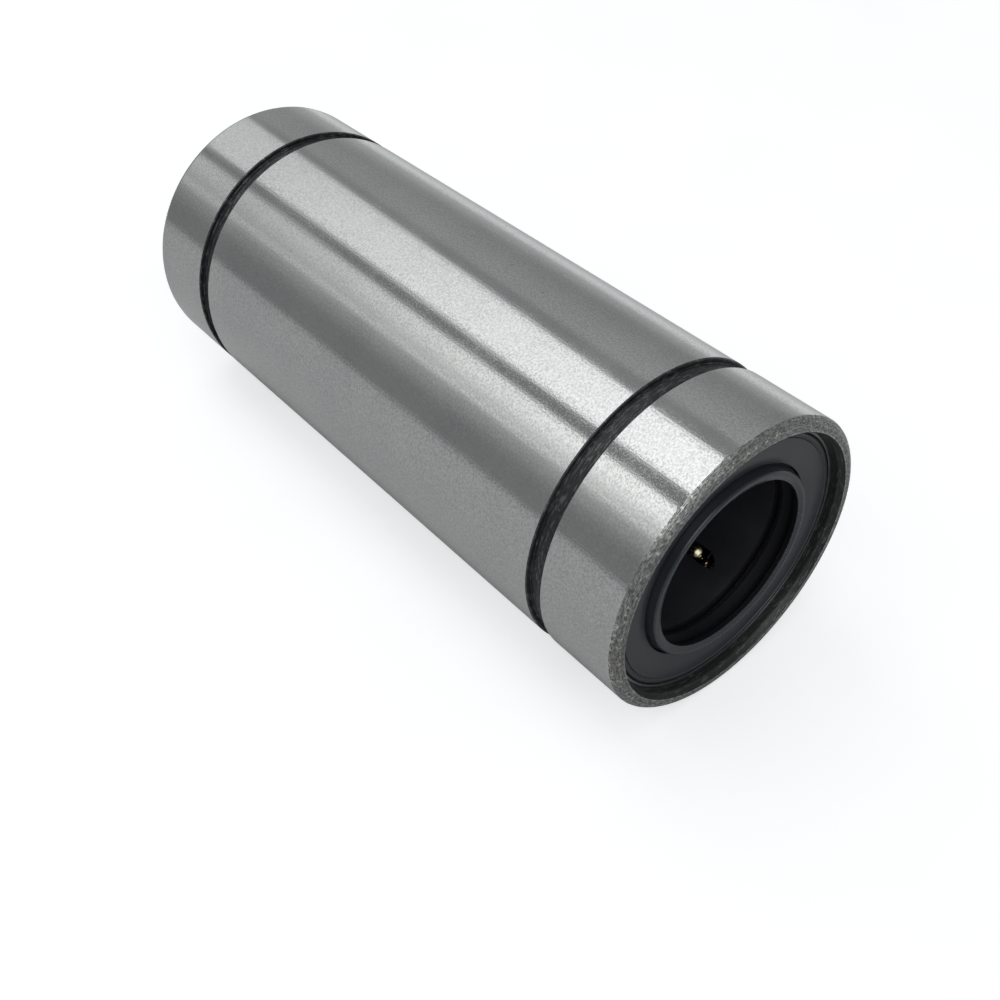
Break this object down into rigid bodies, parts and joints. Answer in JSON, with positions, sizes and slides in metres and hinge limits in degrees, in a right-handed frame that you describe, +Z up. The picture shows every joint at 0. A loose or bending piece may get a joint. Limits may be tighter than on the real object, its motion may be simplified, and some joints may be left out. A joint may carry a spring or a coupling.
{
  "type": "linear ball bushing",
  "caption": "Long closed linear ball bushing: ground steel sleeve with snap-ring grooves and a rubber seal at each end, running on recirculating balls in resin cages along a round shaft.",
  "frame": {"origin": "on the shaft axis, halfway along the sleeve", "axes": "+X along the shaft axis, towards the front seal; +Z up, with the bushing lying on its side"},
  "size_m": [0.07, 0.028, 0.028],
  "materials": {
    "sleeve_steel": "ground outside, dark oxide in the grooves and recesses",
    "cage_resin": "moulded, satin",
    "ring_steel": "stamped",
    "core_steel": "stamped",
    "seal_rubber": "moulded, satin",
    "ball_steel": "polished"
  },
  "bodies": {
    "sleeve_assembly": {"outer_sleeve": "sleeve_steel", "cage_front": "cage_resin", "cage_rear": "cage_resin", "end_ring_front": "ring_steel", "end_ring_rear": "ring_steel", "seal_core_front": "core_steel", "seal_core_rear": "core_steel", "seal_front": "seal_rubber", "seal_rear": "seal_rubber"},
    "front_1_loaded_balls": {"front_1_loaded": "ball_steel"},
    "front_1_return_balls": {"front_1_return": "ball_steel"},
    "front_1_turn_out_balls": {"front_1_turn_out": "ball_steel"},
    "front_1_turn_in_balls": {"front_1_turn_in": "ball_steel"},
    "front_2_loaded_balls": {"front_2_loaded": "ball_steel"},
    "front_2_return_balls": {"front_2_return": "ball_steel"},
    "front_2_turn_out_balls": {"front_2_turn_out": "ball_steel"},
    "front_2_turn_in_balls": {"front_2_turn_in": "ball_steel"},
    "front_3_loaded_balls": {"front_3_loaded": "ball_steel"},
    "front_3_return_balls": {"front_3_return": "ball_steel"},
    "front_3_turn_out_balls": {"front_3_turn_out": "ball_steel"},
    "front_3_turn_in_balls": {"front_3_turn_in": "ball_steel"},
    "front_4_loaded_balls": {"front_4_loaded": "ball_steel"},
    "front_4_return_balls": {"front_4_return": "ball_steel"},
    "front_4_turn_out_balls": {"front_4_turn_out": "ball_steel"},
    "front_4_turn_in_balls": {"front_4_turn_in": "ball_steel"},
    "front_5_loaded_balls": {"front_5_loaded": "ball_steel"},
    "front_5_return_balls": {"front_5_return": "ball_steel"},
    "front_5_turn_out_balls": {"front_5_turn_out": "ball_steel"},
    "front_5_turn_in_balls": {"front_5_turn_in": "ball_steel"},
    "rear_1_loaded_balls": {"rear_1_loaded": "ball_steel"},
    "rear_1_return_balls": {"rear_1_return": "ball_steel"},
    "rear_1_turn_out_balls": {"rear_1_turn_out": "ball_steel"},
    "rear_1_turn_in_balls": {"rear_1_turn_in": "ball_steel"},
    "rear_2_loaded_balls": {"rear_2_loaded": "ball_steel"},
    "rear_2_return_balls": {"rear_2_return": "ball_steel"},
    "rear_2_turn_out_balls": {"rear_2_turn_out": "ball_steel"},
    "rear_2_turn_in_balls": {"rear_2_turn_in": "ball_steel"},
    "rear_3_loaded_balls": {"rear_3_loaded": "ball_steel"},
    "rear_3_return_balls": {"rear_3_return": "ball_steel"},
    "rear_3_turn_out_balls": {"rear_3_turn_out": "ball_steel"},
    "rear_3_turn_in_balls": {"rear_3_turn_in": "ball_steel"},
    "rear_4_loaded_balls": {"rear_4_loaded": "ball_steel"},
    "rear_4_return_balls": {"rear_4_return": "ball_steel"},
    "rear_4_turn_out_balls": {"rear_4_turn_out": "ball_steel"},
    "rear_4_turn_in_balls": {"rear_4_turn_in": "ball_steel"},
    "rear_5_loaded_balls": {"rear_5_loaded": "ball_steel"},
    "rear_5_return_balls": {"rear_5_return": "ball_steel"},
    "rear_5_turn_out_balls": {"rear_5_turn_out": "ball_steel"},
    "rear_5_turn_in_balls": {"rear_5_turn_in": "ball_steel"}
  },
  "joints": [
    {"name": "front_1_loaded_roll", "type": "slide", "parent": "sleeve_assembly", "child": "front_1_loaded_balls", "axis": [1, 0, 0], "range_m": [-0.00134, 0.00134]},
    {"name": "front_1_return_roll", "type": "slide", "parent": "sleeve_assembly", "child": "front_1_return_balls", "axis": [1, 0, 0], "range_m": [-0.00135, 0.00135]},
    {"name": "front_1_turn_out_swing", "type": "hinge", "parent": "sleeve_assembly", "child": "front_1_turn_out_balls", "pos_m": [0.02781, 0.00209, 0.00918], "axis": [-0.2079, 0, 0.9781], "range_deg": [-45.2, 45.2]},
    {"name": "front_1_turn_in_swing", "type": "hinge", "parent": "sleeve_assembly", "child": "front_1_turn_in_balls", "pos_m": [0.00359, 0.00209, 0.00918], "axis": [0.2079, 0, 0.9781], "range_deg": [-45.2, 45.2]},
    {"name": "front_2_loaded_roll", "type": "slide", "parent": "sleeve_assembly", "child": "front_2_loaded_balls", "axis": [1, 0, 0], "range_m": [-0.00134, 0.00134]},
    {"name": "front_2_return_roll", "type": "slide", "parent": "sleeve_assembly", "child": "front_2_return_balls", "axis": [1, 0, 0], "range_m": [-0.00135, 0.00135]},
    {"name": "front_2_turn_out_swing", "type": "hinge", "parent": "sleeve_assembly", "child": "front_2_turn_out_balls", "pos_m": [0.02781, -0.00809, 0.00483], "axis": [-0.2079, -0.9303, 0.3023], "range_deg": [-45.2, 45.2]},
    {"name": "front_2_turn_in_swing", "type": "hinge", "parent": "sleeve_assembly", "child": "front_2_turn_in_balls", "pos_m": [0.00359, -0.00809, 0.00483], "axis": [0.2079, -0.9303, 0.3023], "range_deg": [-45.2, 45.2]},
    {"name": "front_3_loaded_roll", "type": "slide", "parent": "sleeve_assembly", "child": "front_3_loaded_balls", "axis": [1, 0, 0], "range_m": [-0.00134, 0.00134]},
    {"name": "front_3_return_roll", "type": "slide", "parent": "sleeve_assembly", "child": "front_3_return_balls", "axis": [1, 0, 0], "range_m": [-0.00135, 0.00135]},
    {"name": "front_3_turn_out_swing", "type": "hinge", "parent": "sleeve_assembly", "child": "front_3_turn_out_balls", "pos_m": [0.02781, -0.00709, -0.0062], "axis": [-0.2079, -0.5749, -0.7913], "range_deg": [-45.2, 45.2]},
    {"name": "front_3_turn_in_swing", "type": "hinge", "parent": "sleeve_assembly", "child": "front_3_turn_in_balls", "pos_m": [0.00359, -0.00709, -0.0062], "axis": [0.2079, -0.5749, -0.7913], "range_deg": [-45.2, 45.2]},
    {"name": "front_4_loaded_roll", "type": "slide", "parent": "sleeve_assembly", "child": "front_4_loaded_balls", "axis": [1, 0, 0], "range_m": [-0.00134, 0.00134]},
    {"name": "front_4_return_roll", "type": "slide", "parent": "sleeve_assembly", "child": "front_4_return_balls", "axis": [1, 0, 0], "range_m": [-0.00135, 0.00135]},
    {"name": "front_4_turn_out_swing", "type": "hinge", "parent": "sleeve_assembly", "child": "front_4_turn_out_balls", "pos_m": [0.02781, 0.0037, -0.00866], "axis": [-0.2079, 0.5749, -0.7913], "range_deg": [-45.2, 45.2]},
    {"name": "front_4_turn_in_swing", "type": "hinge", "parent": "sleeve_assembly", "child": "front_4_turn_in_balls", "pos_m": [0.00359, 0.0037, -0.00866], "axis": [0.2079, 0.5749, -0.7913], "range_deg": [-45.2, 45.2]},
    {"name": "front_5_loaded_roll", "type": "slide", "parent": "sleeve_assembly", "child": "front_5_loaded_balls", "axis": [1, 0, 0], "range_m": [-0.00134, 0.00134]},
    {"name": "front_5_return_roll", "type": "slide", "parent": "sleeve_assembly", "child": "front_5_return_balls", "axis": [1, 0, 0], "range_m": [-0.00135, 0.00135]},
    {"name": "front_5_turn_out_swing", "type": "hinge", "parent": "sleeve_assembly", "child": "front_5_turn_out_balls", "pos_m": [0.02781, 0.00938, 0.00085], "axis": [-0.2079, 0.9303, 0.3023], "range_deg": [-45.2, 45.2]},
    {"name": "front_5_turn_in_swing", "type": "hinge", "parent": "sleeve_assembly", "child": "front_5_turn_in_balls", "pos_m": [0.00359, 0.00938, 0.00085], "axis": [0.2079, 0.9303, 0.3023], "range_deg": [-45.2, 45.2]},
    {"name": "rear_1_loaded_roll", "type": "slide", "parent": "sleeve_assembly", "child": "rear_1_loaded_balls", "axis": [1, 0, 0], "range_m": [-0.00134, 0.00134]},
    {"name": "rear_1_return_roll", "type": "slide", "parent": "sleeve_assembly", "child": "rear_1_return_balls", "axis": [1, 0, 0], "range_m": [-0.00135, 0.00135]},
    {"name": "rear_1_turn_out_swing", "type": "hinge", "parent": "sleeve_assembly", "child": "rear_1_turn_out_balls", "pos_m": [-0.00359, 0.00209, 0.00918], "axis": [-0.2079, 0, 0.9781], "range_deg": [-45.2, 45.2]},
    {"name": "rear_1_turn_in_swing", "type": "hinge", "parent": "sleeve_assembly", "child": "rear_1_turn_in_balls", "pos_m": [-0.02781, 0.00209, 0.00918], "axis": [0.2079, 0, 0.9781], "range_deg": [-45.2, 45.2]},
    {"name": "rear_2_loaded_roll", "type": "slide", "parent": "sleeve_assembly", "child": "rear_2_loaded_balls", "axis": [1, 0, 0], "range_m": [-0.00134, 0.00134]},
    {"name": "rear_2_return_roll", "type": "slide", "parent": "sleeve_assembly", "child": "rear_2_return_balls", "axis": [1, 0, 0], "range_m": [-0.00135, 0.00135]},
    {"name": "rear_2_turn_out_swing", "type": "hinge", "parent": "sleeve_assembly", "child": "rear_2_turn_out_balls", "pos_m": [-0.00359, -0.00809, 0.00483], "axis": [-0.2079, -0.9303, 0.3023], "range_deg": [-45.2, 45.2]},
    {"name": "rear_2_turn_in_swing", "type": "hinge", "parent": "sleeve_assembly", "child": "rear_2_turn_in_balls", "pos_m": [-0.02781, -0.00809, 0.00483], "axis": [0.2079, -0.9303, 0.3023], "range_deg": [-45.2, 45.2]},
    {"name": "rear_3_loaded_roll", "type": "slide", "parent": "sleeve_assembly", "child": "rear_3_loaded_balls", "axis": [1, 0, 0], "range_m": [-0.00134, 0.00134]},
    {"name": "rear_3_return_roll", "type": "slide", "parent": "sleeve_assembly", "child": "rear_3_return_balls", "axis": [1, 0, 0], "range_m": [-0.00135, 0.00135]},
    {"name": "rear_3_turn_out_swing", "type": "hinge", "parent": "sleeve_assembly", "child": "rear_3_turn_out_balls", "pos_m": [-0.00359, -0.00709, -0.0062], "axis": [-0.2079, -0.5749, -0.7913], "range_deg": [-45.2, 45.2]},
    {"name": "rear_3_turn_in_swing", "type": "hinge", "parent": "sleeve_assembly", "child": "rear_3_turn_in_balls", "pos_m": [-0.02781, -0.00709, -0.0062], "axis": [0.2079, -0.5749, -0.7913], "range_deg": [-45.2, 45.2]},
    {"name": "rear_4_loaded_roll", "type": "slide", "parent": "sleeve_assembly", "child": "rear_4_loaded_balls", "axis": [1, 0, 0], "range_m": [-0.00134, 0.00134]},
    {"name": "rear_4_return_roll", "type": "slide", "parent": "sleeve_assembly", "child": "rear_4_return_balls", "axis": [1, 0, 0], "range_m": [-0.00135, 0.00135]},
    {"name": "rear_4_turn_out_swing", "type": "hinge", "parent": "sleeve_assembly", "child": "rear_4_turn_out_balls", "pos_m": [-0.00359, 0.0037, -0.00866], "axis": [-0.2079, 0.5749, -0.7913], "range_deg": [-45.2, 45.2]},
    {"name": "rear_4_turn_in_swing", "type": "hinge", "parent": "sleeve_assembly", "child": "rear_4_turn_in_balls", "pos_m": [-0.02781, 0.0037, -0.00866], "axis": [0.2079, 0.5749, -0.7913], "range_deg": [-45.2, 45.2]},
    {"name": "rear_5_loaded_roll", "type": "slide", "parent": "sleeve_assembly", "child": "rear_5_loaded_balls", "axis": [1, 0, 0], "range_m": [-0.00134, 0.00134]},
    {"name": "rear_5_return_roll", "type": "slide", "parent": "sleeve_assembly", "child": "rear_5_return_balls", "axis": [1, 0, 0], "range_m": [-0.00135, 0.00135]},
    {"name": "rear_5_turn_out_swing", "type": "hinge", "parent": "sleeve_assembly", "child": "rear_5_turn_out_balls", "pos_m": [-0.00359, 0.00938, 0.00085], "axis": [-0.2079, 0.9303, 0.3023], "range_deg": [-45.2, 45.2]},
    {"name": "rear_5_turn_in_swing", "type": "hinge", "parent": "sleeve_assembly", "child": "rear_5_turn_in_balls", "pos_m": [-0.02781, 0.00938, 0.00085], "axis": [0.2079, 0.9303, 0.3023], "range_deg": [-45.2, 45.2]}
  ],
  "couplings": [
    {"joint": "front_1_return_roll", "follows": "front_1_loaded_roll", "ratio": -1},
    {"joint": "front_1_turn_out_swing", "follows": "front_1_loaded_roll", "rad_per_m": 583.82},
    {"joint": "front_1_turn_in_swing", "follows": "front_1_loaded_roll", "rad_per_m": 583.82},
    {"joint": "front_2_return_roll", "follows": "front_2_loaded_roll", "ratio": -1},
    {"joint": "front_2_turn_out_swing", "follows": "front_2_loaded_roll", "rad_per_m": 583.82},
    {"joint": "front_2_turn_in_swing", "follows": "front_2_loaded_roll", "rad_per_m": 583.82},
    {"joint": "front_3_return_roll", "follows": "front_3_loaded_roll", "ratio": -1},
    {"joint": "front_3_turn_out_swing", "follows": "front_3_loaded_roll", "rad_per_m": 583.82},
    {"joint": "front_3_turn_in_swing", "follows": "front_3_loaded_roll", "rad_per_m": 583.82},
    {"joint": "front_4_return_roll", "follows": "front_4_loaded_roll", "ratio": -1},
    {"joint": "front_4_turn_out_swing", "follows": "front_4_loaded_roll", "rad_per_m": 583.82},
    {"joint": "front_4_turn_in_swing", "follows": "front_4_loaded_roll", "rad_per_m": 583.82},
    {"joint": "front_5_return_roll", "follows": "front_5_loaded_roll", "ratio": -1},
    {"joint": "front_5_turn_out_swing", "follows": "front_5_loaded_roll", "rad_per_m": 583.82},
    {"joint": "front_5_turn_in_swing", "follows": "front_5_loaded_roll", "rad_per_m": 583.82},
    {"joint": "rear_1_return_roll", "follows": "rear_1_loaded_roll", "ratio": -1},
    {"joint": "rear_1_turn_out_swing", "follows": "rear_1_loaded_roll", "rad_per_m": 583.82},
    {"joint": "rear_1_turn_in_swing", "follows": "rear_1_loaded_roll", "rad_per_m": 583.82},
    {"joint": "rear_2_return_roll", "follows": "rear_2_loaded_roll", "ratio": -1},
    {"joint": "rear_2_turn_out_swing", "follows": "rear_2_loaded_roll", "rad_per_m": 583.82},
    {"joint": "rear_2_turn_in_swing", "follows": "rear_2_loaded_roll", "rad_per_m": 583.82},
    {"joint": "rear_3_return_roll", "follows": "rear_3_loaded_roll", "ratio": -1},
    {"joint": "rear_3_turn_out_swing", "follows": "rear_3_loaded_roll", "rad_per_m": 583.82},
    {"joint": "rear_3_turn_in_swing", "follows": "rear_3_loaded_roll", "rad_per_m": 583.82},
    {"joint": "rear_4_return_roll", "follows": "rear_4_loaded_roll", "ratio": -1},
    {"joint": "rear_4_turn_out_swing", "follows": "rear_4_loaded_roll", "rad_per_m": 583.82},
    {"joint": "rear_4_turn_in_swing", "follows": "rear_4_loaded_roll", "rad_per_m": 583.82},
    {"joint": "rear_5_return_roll", "follows": "rear_5_loaded_roll", "ratio": -1},
    {"joint": "rear_5_turn_out_swing", "follows": "rear_5_loaded_roll", "rad_per_m": 583.82},
    {"joint": "rear_5_turn_in_swing", "follows": "rear_5_loaded_roll", "rad_per_m": 583.82}
  ]
}
